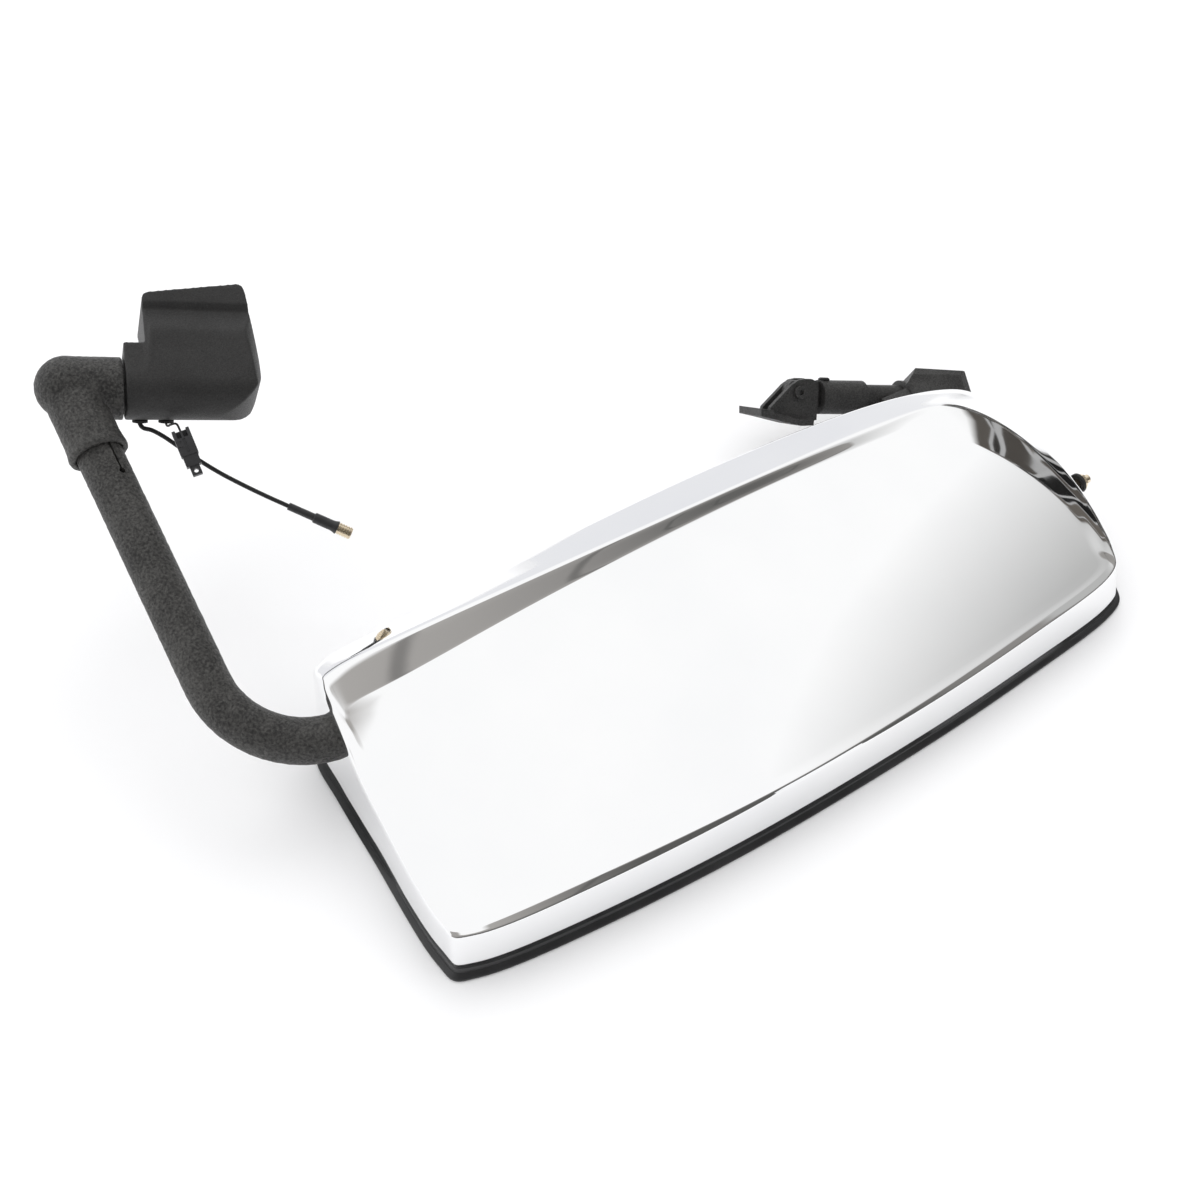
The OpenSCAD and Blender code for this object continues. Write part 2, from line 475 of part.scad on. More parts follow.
pan_rod = [120, -32]; tilt_rod = [152, 0];
module main_carrier() place() color([0.13, 0.13, 0.14]) {
  translate([0, 0, z2]) linear_extrude(carrier_t) glass_outline(0.5, m_lo + 0.5, 400);
  difference() {
    translate([0, 0, z1]) linear_extrude(heater_t + eps) glass_outline(0.5, m_lo + 0.5, 400);
    translate([0, 0, z1 - 1]) linear_extrude(heater_t + 2) glass_outline(12, m_lo + 12, 400);
  }
  carrier_top(main_c, z3 - eps);
  for (p = [pan_rod, tilt_rod]) translate([p[0], p[1], z3 - eps]) difference() {
    cylinder(r = 7.5, h = 4.5);
    translate([0, 0, eps]) cylinder(r = 5.6, h = 5);
  }
}
module main_pivot_cross() place() color([0.75, 0.75, 0.76]) cross_at(main_c);
module yoke(c) difference() {
  lugs(c, false) translate([0, 0, pivot_z - 4]) cube([4, 10, 13]);
  translate([c[0], c[1] + 20, pivot_z]) rotate([90, 0, 0]) cylinder(r = 3.05, h = 40);
}
module main_actuator() place() color([0.16, 0.16, 0.17]) {
  yoke(main_c);
  difference() {
    union() {
      translate([80, -40, 37]) cube([84, 72, 14]);
      translate([86, -37.9, 35]) cube([72, 4, 3]);
    }
    for (p = [pan_rod, tilt_rod]) translate([p[0], p[1], 33]) cylinder(r = 4.06, h = 17);
  }
}
module jack(p) translate([p[0], p[1], 0]) {
  translate([0, 0, z3 + 4.4]) sphere(r = 4);
  translate([0, 0, z3 + 4.4]) cylinder(r = 4, h = 20);
}
module pan_jack_rod() place() color([0.8, 0.8, 0.78]) jack(pan_rod);
module tilt_jack_rod() place() color([0.8, 0.8, 0.78]) jack(tilt_rod);

spot_top = z1 + 2.4;
module spot_glass() place() color([0.6, 0.65, 0.7]) intersection() {
  translate([0, 0, glass_z - 1]) linear_extrude(8) glass_outline(0, -400, s_hi);
  // slightly bulging disc, thickest sag at its edge
  translate([spot_c[0], spot_c[1], glass_z]) rotate_extrude() polygon(concat(
    [for (r = [0:14:154]) [r, r * r / 2 / spot_R]], [for (r = [154:-14:0]) [r, glass_t + r * r / 2 / spot_R]]));
}
module spot_heater() place() color([0.75, 0.4, 0.15])
  translate([0, 0, spot_top]) linear_extrude(heater_t) glass_outline(12, -400, s_hi - 12);
module spot_carrier() place() color([0.13, 0.13, 0.14]) {
  translate([0, 0, spot_top + heater_t]) linear_extrude(3.5) glass_outline(0.5, -400, s_hi - 0.5);
  difference() {
    translate([0, 0, spot_top]) linear_extrude(heater_t + eps) glass_outline(0.5, -400, s_hi - 0.5);
    translate([0, 0, spot_top - 1]) linear_extrude(heater_t + 2) glass_outline(12, -400, s_hi - 12);
  }
  carrier_top(spot_c, spot_top + heater_t + 3.5 - eps);
}
module spot_pivot_cross() place() color([0.75, 0.75, 0.76]) cross_at(spot_c);
module spot_holder() place() color([0.16, 0.16, 0.17]) {
  yoke(spot_c);
  translate([spot_c[0] - 18, -18, 37]) cube([36, 36, 14]);
}

// ================= antenna feed =================
ant = [344, -12, 50];
module antenna_washer() place() color([0.1, 0.1, 0.1]) translate(ant) rotate([0, 90, 0]) difference() {
  translate([0, 0, 8]) cylinder(r = 8, h = 2.5);
  translate([0, 0, 7]) cylinder(r = 4.2, h = 5);
}
module antenna_nut() place() color([0.78, 0.6, 0.3]) translate(ant) rotate([0, 90, 0]) difference() {
  translate([0, 0, 10.6]) cylinder(r = 7, h = 3.4, $fn = 6);
  translate([0, 0, 7]) cylinder(r = 4, h = 12);
}
module antenna_stud() place() color([0.8, 0.62, 0.32]) translate(ant) rotate([0, 90, 0]) {
  translate([0, 0, -6]) cylinder(r = 4, h = 20);
  translate([0, 0, 14 - eps]) cylinder(r = 3.5, h = 6 + eps);
  translate([0, 0, -8]) cylinder(r = 8, h = 2.5);
}

// ================= leads =================
module coax_cable() place() color([0.08, 0.08, 0.08]) cord(coax_pts, coax_r, coax_n);
coax_end = coax_pts[len(coax_pts) - 1];
module coax_sleeve_small() place() color([0.07, 0.07, 0.07]) along(coax_end, plug_dir) difference() {
  translate([0, 0, -2]) cylinder(r = 2.9, h = 20.5);
  translate([0, 0, -3]) cylinder(r = 2.2, h = 3.02);
}
module coax_sleeve_large() place() color([0.07, 0.07, 0.07]) along(coax_end, plug_dir) {
  translate([0, 0, 18.5]) cylinder(r = 4, h = 15.5);
  translate([0, 0, 34 - eps]) cylinder(r1 = 4, r2 = 5, h = 3);
}
module coax_plug() place() color([0.8, 0.62, 0.32]) along(coax_end, plug_dir) difference() {
  union() {
    translate([0, 0, 37 - eps]) cylinder(r = 4.2, h = 11 + eps);
    for (k = [0:4]) translate([0, 0, 38 + 2 * k]) cylinder(r = 4.6, h = 1.1);
  }
  translate([0, 0, 41]) cylinder(r = 3.3, h = 8);
}
module signal_wire() place() color([0.08, 0.08, 0.08]) cord(signal_pts, signal_r, signal_n);
conn_roll = 95;
module signal_connector() place() color([0.07, 0.07, 0.07]) along(signal_pts[len(signal_pts) - 1] + eps * sig_dir, sig_dir) rotate([0, 0, conn_roll]) {
  translate([-6.2, -4.5, 0]) cube([12.4, 9, 27]);
  translate([-3.5, -3, 27 - eps]) difference() {
    cube([7, 6, 7]);
    translate([3.5, -1, 3.8]) rotate([-90, 0, 0]) cylinder(r = 1.6, h = 8);
  }
}

chrome_shell();
rim_frame();
inner_frame();
tube_cap_lower();
tube_cap_upper();
cap_screws();
lower_arm_tube();
lower_elbow();
elbow_set_screw();
hinge_pin();
hinge_bush();
thrust_washer();
disc_springs();
hinge_nut();
mount_base();
mount_cover();
cover_screws();
lead_grommets();
upper_arm_block();
block_screw();
upper_tube();
upper_sleeve();
sleeve_grease_cap();
foot_bracket();
foot_bolt();
foot_nut();
main_glass();
main_heater();
main_carrier();
main_pivot_cross();
main_actuator();
pan_jack_rod();
tilt_jack_rod();
spot_glass();
spot_heater();
spot_carrier();
spot_pivot_cross();
spot_holder();
antenna_stud();
antenna_washer();
antenna_nut();
coax_cable();
coax_sleeve_small();
coax_sleeve_large();
coax_plug();
signal_wire();
signal_connector();
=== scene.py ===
import json
import math

import bmesh
import bpy
from mathutils import Matrix, Vector, noise

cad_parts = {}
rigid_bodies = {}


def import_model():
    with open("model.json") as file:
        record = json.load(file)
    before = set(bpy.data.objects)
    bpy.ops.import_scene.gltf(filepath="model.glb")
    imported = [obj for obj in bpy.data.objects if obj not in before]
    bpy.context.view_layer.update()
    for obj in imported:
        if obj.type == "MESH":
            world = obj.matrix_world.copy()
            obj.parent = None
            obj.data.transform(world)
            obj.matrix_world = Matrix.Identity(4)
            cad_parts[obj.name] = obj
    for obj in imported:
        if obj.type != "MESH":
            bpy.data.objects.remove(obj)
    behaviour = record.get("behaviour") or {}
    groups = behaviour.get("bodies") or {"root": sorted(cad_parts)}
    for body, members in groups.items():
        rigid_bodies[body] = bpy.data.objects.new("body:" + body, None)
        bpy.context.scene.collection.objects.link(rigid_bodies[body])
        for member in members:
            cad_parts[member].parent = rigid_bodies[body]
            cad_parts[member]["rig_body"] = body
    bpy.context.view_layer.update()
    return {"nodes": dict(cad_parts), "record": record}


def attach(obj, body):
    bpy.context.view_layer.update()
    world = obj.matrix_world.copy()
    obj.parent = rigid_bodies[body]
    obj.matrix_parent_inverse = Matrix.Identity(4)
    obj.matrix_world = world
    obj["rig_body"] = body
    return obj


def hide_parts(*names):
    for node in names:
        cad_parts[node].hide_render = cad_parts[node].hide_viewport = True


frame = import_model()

SCENE = bpy.context.scene
SCENE.view_settings.view_transform = "Standard"

# ------------------------------------------------------------------ placing
# The drawing has its origin under the head, as in the CAD source. The frame's origin lies here in it,
# in mm.
ORIGIN = Vector((31.503, 139.703, 0.0))


def M(p):
    """A point of the drawing, in mm, as a point of the frame, in metres."""
    return (Vector(p) - ORIGIN) / 1000


def basis(x, y, z):
    return Matrix((x, y, z)).transposed()


def rot(axis, degrees):
    return Matrix.Rotation(math.radians(degrees), 3, axis)


# Arm and hinge geometry, in mm and degrees. The tube leaves the head at ARM_IN, turns by BEND in a plane
# raised by RISE, and its LEG runs on to the elbow. The tube itself ends TUBE_LEG along that leg.
ARM_IN = Vector((-244, 66, 60))
BEND, RISE, BEND_R, ARM_R = 91.3, 25.0, 69.0, 15.9
LEG, TUBE_LEG = 237, 229
cos_bend, sin_bend = math.cos(math.radians(BEND)), math.sin(math.radians(BEND))
cos_rise, sin_rise = math.cos(math.radians(RISE)), math.sin(math.radians(RISE))
ARM_DIR = Vector((-cos_bend, sin_bend * cos_rise, sin_bend * sin_rise))
KNEE = ARM_IN + BEND_R * Vector((-sin_bend, (1 - cos_bend) * cos_rise, (1 - cos_bend) * sin_rise))
ELBOW = KNEE + LEG * ARM_DIR
UP = Vector((273.3, 182.6, 38))
FOLD = (UP - ELBOW).normalized()
TILT, TURN = math.degrees(math.acos(FOLD.z)), math.degrees(math.atan2(FOLD.y, FOLD.x))


def fold(p, roll):
    """The hinge frame at p: z along the fold axis, x towards the door."""
    return Vector(p), rot("Z", TURN) @ rot("Y", TILT) @ rot("Z", roll)


def along(p, d):
    """A frame at p whose z runs along d."""
    d = Vector(d).normalized()
    turn, tilt = math.degrees(math.atan2(d.y, d.x)), math.degrees(math.acos(d.z))
    return Vector(p), rot("Z", turn) @ rot("Y", tilt)


def at(place, q):
    """The point q of a placed frame, in the drawing."""
    return place[0] + place[1] @ Vector(q)


MOUNT_ROLL = 112
MOUNT = fold(ELBOW, MOUNT_ROLL)
SLEEVE = along(ELBOW, -ARM_DIR)

# ------------------------------------------------------------------ camera
AZ, EL = math.radians(-32.5), math.radians(47)
CAMERA_AT = (-436.1, -548.1, 854.5)
right = Vector((math.cos(AZ), math.sin(AZ), 0))
forward = Vector((-math.sin(AZ) * math.cos(EL), math.cos(AZ) * math.cos(EL), -math.sin(EL)))
up = right.cross(forward)
cam_data = bpy.data.cameras.new("camera")
cam_data.lens, cam_data.sensor_width = 45.0, 36.0
cam_data.clip_start, cam_data.clip_end = 0.05, 50
camera = bpy.data.objects.new("camera", cam_data)
SCENE.collection.objects.link(camera)
SCENE.camera = camera
camera.matrix_world = Matrix.Translation(M(CAMERA_AT)) @ basis(right, up, -forward).to_4x4()


# ------------------------------------------------------------------ mesh helpers
def link(obj):
    SCENE.collection.objects.link(obj)
    return obj


def mesh_object(name, verts, faces, smooth=True):
    """verts in drawing mm."""
    mesh = bpy.data.meshes.new(name)
    mesh.from_pydata([M(v) for v in verts], [], faces)
    mesh.validate()
    if smooth:
        mesh.polygons.foreach_set("use_smooth", [True] * len(mesh.polygons))
    mesh.update()
    return link(bpy.data.objects.new(name, mesh))


def tidy_normals(obj):
    bm = bmesh.new()
    bm.from_mesh(obj.data)
    bmesh.ops.recalc_face_normals(bm, faces=bm.faces)
    bm.to_mesh(obj.data)
    bm.free()
    return obj


def by_angle(obj, degrees=35):
    obj.data.polygons.foreach_set("use_smooth", [True] * len(obj.data.polygons))
    obj.data.set_sharp_from_angle(angle=math.radians(degrees))
    return obj


def loft(name, rings, closed=False, cap=True, smooth=True):
    """Joins rings of equal length; closed joins the last ring to the first."""
    n, m = len(rings[0]), len(rings)
    verts = [p for r in rings for p in r]
    faces = []
    for k in range(m if closed else m - 1):
        for i in range(n):
            j = (i + 1) % n
            a, b = k * n, (k + 1) % m * n
            faces.append((a + i, a + j, b + j, b + i))
    if cap and not closed:
        faces.append(tuple(range(n))[::-1])
        faces.append(tuple((m - 1) * n + i for i in range(n)))
    return tidy_normals(mesh_object(name, verts, faces, smooth))


def sweep(name, points, radius, sides):
    """A round tube along points, capped at both ends."""
    pts = [Vector(p) for p in points]
    rings, side = [], None
    for i, p in enumerate(pts):
        d = (pts[min(i + 1, len(pts) - 1)] - pts[max(i - 1, 0)]).normalized()
        if side is None:
            side = d.cross(Vector((0, 0, 1)) if abs(d.z) < 0.9 else Vector((1, 0, 0))).normalized()
        side = (side - d * side.dot(d)).normalized()
        other = d.cross(side)
        rings.append([p + radius * (math.cos(t) * side + math.sin(t) * other)
                      for t in (2 * math.pi * k / sides for k in range(sides))])
    return loft(name, rings)


def lathe(name, place, profile, sides=48, closed=True):
    """Turns (radius, height) points about the place's z axis."""
    rings = [[at(place, (r * math.cos(t), r * math.sin(t), h))
              for t in (2 * math.pi * k / sides for k in range(sides))] for r, h in profile]
    return by_angle(loft(name, rings, closed=closed, cap=not closed), 32)


def prism(name, place, outline, z0, z1, plane="xy"):
    """A straight extrusion of a 2-D outline in the place's frame."""
    def q(p, z):
        return {"xy": (p[0], p[1], z), "zx": (p[1], z, p[0]), "yz": (z, p[0], p[1])}[plane]
    rings = [[at(place, q(p, z)) for p in outline] for z in (z0, z1)]
    return loft(name, rings, smooth=False)


def apply_modifiers(obj):
    bpy.context.view_layer.update()
    dg = bpy.context.evaluated_depsgraph_get()
    mesh = bpy.data.meshes.new_from_object(obj.evaluated_get(dg))
    old = obj.data
    obj.modifiers.clear()
    obj.data = mesh
    bpy.data.meshes.remove(old)
    return obj


def boolean(obj, tool, how="DIFFERENCE"):
    mod = obj.modifiers.new(how.lower(), "BOOLEAN")
    mod.object, mod.operation, mod.solver = tool, how, "EXACT"
    apply_modifiers(obj)
    bpy.data.objects.remove(tool)
    return obj


def join(name, parts):
    """One object from several meshes that are already in the frame."""
    bm = bmesh.new()
    for p in parts:
        bm.from_mesh(p.data)
    mesh = bpy.data.meshes.new(name)
    bm.to_mesh(mesh)
    bm.free()
    for p in parts:
        bpy.data.objects.remove(p)
    return link(bpy.data.objects.new(name, mesh))


CAST_VOXEL = 0.9      # mm


def melt(obj, rounds):
    """Fuses overlapping solids into one cast form and softens its edges."""
    mod = obj.modifiers.new("melt", "REMESH")
    mod.mode, mod.voxel_size, mod.use_smooth_shade = "VOXEL", CAST_VOXEL / 1000, True
    soft = obj.modifiers.new("soften", "SMOOTH")
    soft.factor, soft.iterations = 0.6, rounds
    apply_modifiers(obj)
    return by_angle(obj, 80)


def bevel(obj, width_mm, segments=3, degrees=35):
    mod = obj.modifiers.new("bevel", "BEVEL")
    mod.width, mod.segments, mod.limit_method = width_mm / 1000, segments, "ANGLE"
    mod.angle_limit = math.radians(degrees)
    return obj


def finish_piece(obj, body, mat, slot, *nodes):
    obj.data.materials.clear()
    obj.data.materials.append(mat)
    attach(obj, body)
    if nodes:
        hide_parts(*nodes)
    return obj


def catmull(a, b, c, d, t):
    """The smooth curve between b and c, from 0 to 1 in t."""
    return 0.5 * (2 * b + (c - a) * t + (2 * a - 5 * b + 4 * c - d) * t * t
                  + (3 * b - a - 3 * c + d) * t ** 3)


def through(points, per):
    """An open smooth curve through points."""
    p = [Vector(q) for q in points]
    out, n = [], len(p) - 1
    for k in range(n):
        for j in range(per):
            out.append(catmull(p[max(k - 1, 0)], p[k], p[k + 1], p[min(k + 2, n)], j / per))
    return out + [p[-1]]


# ------------------------------------------------------------------ leads
LEAD_TURN = 220                     # degrees round the fold axis, from the door side
COAX_HEIGHT, SIGNAL_HEIGHT = 48, 66
COAX_R, SIGNAL_R = 1.6, 0.8


def lead_out(height):
    """Straight way out of the cover's hidden side, height mm up the fold axis."""
    return [lead_point(height, reach) for reach in (19, 22, 25)]


def lead_point(height, reach):
    turn = math.radians(LEAD_TURN)
    return at(MOUNT, (reach * math.cos(turn), reach * math.sin(turn), height))


COAX = lead_out(COAX_HEIGHT) + [
    (-270.2, 319.6, 154.4), (-265.2, 316.2, 152.2), (-259, 310.4, 147), (-251, 302, 138),
    (-243, 294.8, 129), (-232.5, 285.5, 118.5), (-220.5, 274.8, 108.8), (-208.2, 263.8, 100),
    (-196, 253, 92)]
SIGNAL = lead_out(SIGNAL_HEIGHT) + [
    (-254.4, 313.8, 153.2), (-253.4, 308.8, 157.4), (-252.2, 304, 161.2), (-251.2, 300.6, 163.2),
    (-250.8, 297.8, 163), (-250.9, 295, 160.9)]

coax_points, signal_points = through(COAX, 6), through(SIGNAL, 5)
coax = sweep("coax_lead", coax_points, COAX_R, 16)
signal = sweep("signal_lead", signal_points, SIGNAL_R, 14)
coax_end = along(COAX[-1], coax_points[-1] - coax_points[-2])
signal_end = along(SIGNAL[-1], signal_points[-1] - signal_points[-2])
signal_end = (signal_end[0], signal_end[1] @ rot("Z", 95))

# Sleeves and plug, as (radius, distance beyond the cable's end).
sleeve_small = lathe("coax_sleeve_thin", coax_end, [
    (1.62, -2), (2.5, -2.1), (2.85, -1.6), (2.9, 2), (2.84, 7), (2.9, 13), (2.88, 18.7),
    (1.62, 18.7)])
sleeve_large = lathe("coax_sleeve_thick", coax_end, [
    (2.4, 18.1), (3.5, 18.2), (3.95, 18.9), (4.0, 25), (4.0, 32.5), (4.3, 34.2), (4.95, 36.3),
    (4.8, 37), (3.0, 37)])
ribs = [(3.3, 37.0), (4.2, 37.0)]
for k in range(5):
    z = 38.0 + 2 * k
    ribs += [(4.2, z - 0.15), (4.6, z), (4.6, z + 0.95), (4.2, z + 1.1)]
ribs += [(4.2, 47.7), (3.9, 48.0), (3.3, 48.0), (3.3, 41.2), (1.0, 41.2), (1.0, 46.4),
         (0.35, 47.0), (0.35, 40.8), (3.3, 40.8)]
plug = lathe("coax_plug_brass", coax_end, ribs, 40)


def box_prism(name, place, lo, hi):
    """A box between two corners of the place's frame."""
    outline = [(lo[0], lo[1]), (hi[0], lo[1]), (hi[0], hi[1]), (lo[0], hi[1])]
    return prism(name, place, outline, lo[2], hi[2])


# The two-pin connector: a stepped body with an eye at its tip, wire entries, side ribs and a latch.
connector_body = box_prism("signal_plug", signal_end, (-6.2, -4.5, 0), (6.2, 4.5, 19))
for lo, hi in [((-5.4, -3.9, 18.9), (5.4, 3.9, 27)), ((-3.5, -3, 26.9), (3.5, 3, 34))]:
    boolean(connector_body, box_prism("t", signal_end, lo, hi), "UNION")
hole = lathe("t", (signal_end[0], signal_end[1] @ rot("X", -90)),
             [(0.01, -9), (1.6, -9), (1.6, 9), (0.01, 9)], 24)
EYE_HEIGHT = 30.8
hole.data.transform(Matrix.Translation(signal_end[1] @ Vector((0, 0, EYE_HEIGHT)) / 1000))
boolean(connector_body, hole)
for lo, hi in [((-3.9, -2.6, -1), (-0.7, 5, 6)), ((0.7, -2.6, -1), (3.9, 5, 6)),
               ((-6.7, 4.1, 8), (-2.5, 5, 10)), ((-6.7, 4.1, 12), (-2.5, 5, 14)),
               ((-1, 3.9, 7), (1, 5, 17))]:
    boolean(connector_body, box_prism("t", signal_end, lo, hi))
bevel(by_angle(connector_body, 30), 0.35, 2, 30)


# ------------------------------------------------------------------ materials
class Nodes:
    """A small wrapper that keeps the node graph of a material or a world short."""

    def __init__(self, owner, kind="Material", coord="Object"):
        owner.use_nodes = True
        self.owner, self.tree = owner, owner.node_tree
        self.tree.nodes.clear()
        self.out = self.add("ShaderNodeOutput" + kind)
        self.coord = self.add("ShaderNodeTexCoord").outputs[coord]

    def add(self, kind, **settings):
        node = self.tree.nodes.new(kind)
        for key, value in settings.items():
            setattr(node, key, value)
        return node

    def put(self, socket, value):
        if isinstance(value, bpy.types.NodeSocket):
            self.tree.links.new(value, socket)
        else:
            socket.default_value = value

    def noise(self, scale, detail=4.0, rough=0.55, distortion=0.0, vector=None):
        n = self.add("ShaderNodeTexNoise")
        self.put(n.inputs["Vector"], vector or self.coord)
        self.put(n.inputs["Scale"], scale)
        self.put(n.inputs["Detail"], detail)
        self.put(n.inputs["Roughness"], rough)
        self.put(n.inputs["Distortion"], distortion)
        return n.outputs["Fac"]

    def remap(self, value, a, b, c, d):
        """value from the range a..b to the range c..d, held at its ends."""
        n = self.add("ShaderNodeMapRange")
        keys = ("Value", "From Min", "From Max", "To Min", "To Max")
        for key, v in zip(keys, (value, a, b, c, d)):
            self.put(n.inputs[key], v)
        return n.outputs["Result"]

    def math(self, op, a, b=0.0):
        n = self.add("ShaderNodeMath", operation=op)
        self.put(n.inputs[0], a)
        self.put(n.inputs[1], b)
        return n.outputs[0]

    def mix(self, fac, a, b):
        n = self.add("ShaderNodeMix", data_type="RGBA")
        self.put(n.inputs[0], fac)
        self.put(n.inputs[6], (*a, 1) if isinstance(a, tuple) else a)
        self.put(n.inputs[7], (*b, 1) if isinstance(b, tuple) else b)
        return n.outputs[2]

    def bump(self, height, strength, distance):
        n = self.add("ShaderNodeBump")
        self.put(n.inputs["Strength"], strength)
        self.put(n.inputs["Distance"], distance)
        self.put(n.inputs["Height"], height)
        return n.outputs["Normal"]

    def principled(self, color, rough, metallic=0.0, normal=None, **extra):
        n = self.add("ShaderNodeBsdfPrincipled")
        self.put(n.inputs["Base Color"], (*color, 1) if isinstance(color, tuple) else color)
        self.put(n.inputs["Roughness"], rough)
        self.put(n.inputs["Metallic"], metallic)
        if normal is not None:
            self.put(n.inputs["Normal"], normal)
        for key, value in extra.items():
            self.put(n.inputs[key.replace("_", " ")], value)
        self.tree.links.new(n.outputs[0], self.out.inputs["Surface"])
        return self.owner


def material_nodes(name):
    return Nodes(bpy.data.materials.new(name))


def wrinkle(name, dark=(0.011, 0.0106, 0.010), light=(0.066, 0.064, 0.060), scale=1.25,
            depth=0.0007, rough=0.52):
    """Wrinkle powder coat: soft random humps about 2 mm across with a finer skin on top, the hump crests
    painted lighter as a painted highlight.
    """
    m = material_nodes(name)
    humps = m.noise(430 * scale, 3, 0.6, 0.4)
    skin = m.noise(1500 * scale, 2, 0.5)
    patches = m.noise(35, 3, 0.6)
    height = m.math("ADD", humps, m.math("MULTIPLY", skin, 0.35))
    # Painted highlight on the hump crests: the tint gets lighter where the humps rise, with random
    # patches of tone mixed in.
    crest_sheen_and_patches = m.math("ADD", humps, m.math("MULTIPLY", patches, 0.35))
    tint = m.mix(m.remap(crest_sheen_and_patches, 0.52, 0.88, 0, 1), dark, light)
    return m.principled(tint, m.remap(humps, 0.3, 0.7, rough + 0.1, rough - 0.08),
                        normal=m.bump(height, 0.9, depth))


def moulded(name, base=(0.028, 0.028, 0.030), rough=0.45, grain=2600, depth=0.00012):
    """Fine-grained moulded plastic with faint handling marks."""
    m = material_nodes(name)
    fine = m.noise(grain, 2, 0.5)
    cloud = m.noise(28, 4, 0.6)
    high = tuple(min(1.0, c * 1.35 + 0.004) for c in base)
    tint = m.mix(m.remap(cloud, 0.35, 0.7, 0, 1), base, high)
    return m.principled(tint, m.remap(cloud, 0.3, 0.7, rough - 0.05, rough + 0.08),
                        normal=m.bump(fine, 0.6, depth))


def metal(name, color, rough=0.3, streak=(6, 6, 900), depth=0.00004):
    """Turned or plated metal with fine tool lines and a cloudy tone."""
    m = material_nodes(name)
    scaled = m.add("ShaderNodeVectorMath", operation="MULTIPLY")
    m.put(scaled.inputs[0], m.coord)
    scaled.inputs[1].default_value = streak
    lines = m.noise(4.0, 2, 0.5, 0, scaled.outputs[0])
    cloud = m.noise(60, 3, 0.6)
    dull = tuple(c * 0.78 for c in color)
    tint = m.mix(m.remap(cloud, 0.35, 0.65, 0, 1), dull, color)
    return m.principled(tint, m.remap(lines, 0.3, 0.7, rough - 0.06, rough + 0.08), 1.0,
                        m.bump(lines, 0.4, depth))


def chrome_plate():
    """Bright plating with a faint haze, specks and the slow waves of a pressed sheet."""
    m = material_nodes("chrome_plate")
    haze = m.noise(9, 3, 0.5)
    specks = m.noise(700, 2, 0.6)
    tint = m.mix(m.remap(haze, 0.3, 0.7, 0, 1), (0.905, 0.91, 0.918), (0.94, 0.942, 0.945))
    haze = m.math("ADD", haze, m.math("MULTIPLY", specks, 0.1))
    return m.principled(tint, m.remap(haze, 0.3, 0.8, 0.022, 0.05), 1.0,
                        m.bump(m.noise(16, 2, 0.5), 0.05, 0.0015))


def silvered_glass():
    """Mirror glass under a clear coat."""
    m = material_nodes("silvered_glass")
    haze = m.noise(12, 3, 0.5)
    tint = m.mix(m.remap(haze, 0.3, 0.7, 0, 1), (0.80, 0.84, 0.87), (0.84, 0.875, 0.90))
    return m.principled(tint, m.remap(haze, 0.3, 0.7, 0.008, 0.02), 1.0, Coat_Weight=0.6,
                        Coat_Roughness=0.02)


def printed_film():
    """Heater film with printed conductor bands."""
    m = material_nodes("printed_film")
    wave = m.add("ShaderNodeTexWave", wave_type="BANDS", bands_direction="Y")
    m.put(wave.inputs["Vector"], m.coord)
    m.put(wave.inputs["Scale"], 42.0)
    m.put(wave.inputs["Distortion"], 0.6)
    tint = m.mix(m.remap(wave.outputs["Fac"], 0.6, 0.75, 0, 1), (0.50, 0.24, 0.08), (0.72, 0.62, 0.48))
    return m.principled(tint, 0.42, normal=m.bump(wave.outputs["Fac"], 0.3, 0.00008))


# All three coats below carry the painted highlight on their hump crests.
WRINKLE = wrinkle("wrinkle_coat")
WRINKLE_FINE = wrinkle("wrinkle_coat_fine", (0.014, 0.0137, 0.0135), (0.050, 0.049, 0.047), 1.9,
                       0.0004, 0.5)
COVER_PLASTIC = wrinkle("cover_plastic", (0.013, 0.0127, 0.0125), (0.030, 0.0295, 0.029), 2.6,
                        0.00024, 0.5)
BLACK_PLASTIC = moulded("black_plastic")
RIM_PLASTIC = moulded("rim_plastic", (0.016, 0.016, 0.017), 0.38, 1800, 0.0001)
RUBBER = moulded("lead_rubber", (0.010, 0.010, 0.010), 0.62, 900, 0.00008)
SHRINK = moulded("shrink_sleeve", (0.020, 0.020, 0.021), 0.4, 500, 0.0001)
ROD_PLASTIC = moulded("rod_plastic", (0.62, 0.61, 0.58), 0.4, 1500, 0.00006)
ZINC = metal("zinc_steel", (0.60, 0.61, 0.62), 0.3)
BRONZE = metal("bronze", (0.62, 0.42, 0.20), 0.35)
BRASS = metal("plug_brass", (0.93, 0.80, 0.60), 0.22)
CHROME = chrome_plate()
MIRROR = silvered_glass()
FILM = printed_film()

finish_piece(coax, "lower_mount", RUBBER, "lead_rubber", "coax_cable")
finish_piece(signal, "lower_mount", RUBBER, "lead_rubber", "signal_wire")
finish_piece(sleeve_small, "lower_mount", SHRINK, "lead_rubber", "coax_sleeve_small")
finish_piece(sleeve_large, "lower_mount", SHRINK, "lead_rubber", "coax_sleeve_large")
finish_piece(plug, "lower_mount", BRASS, "plug_brass", "coax_plug")
finish_piece(connector_body, "lower_mount", BLACK_PLASTIC, "black_plastic", "signal_connector")

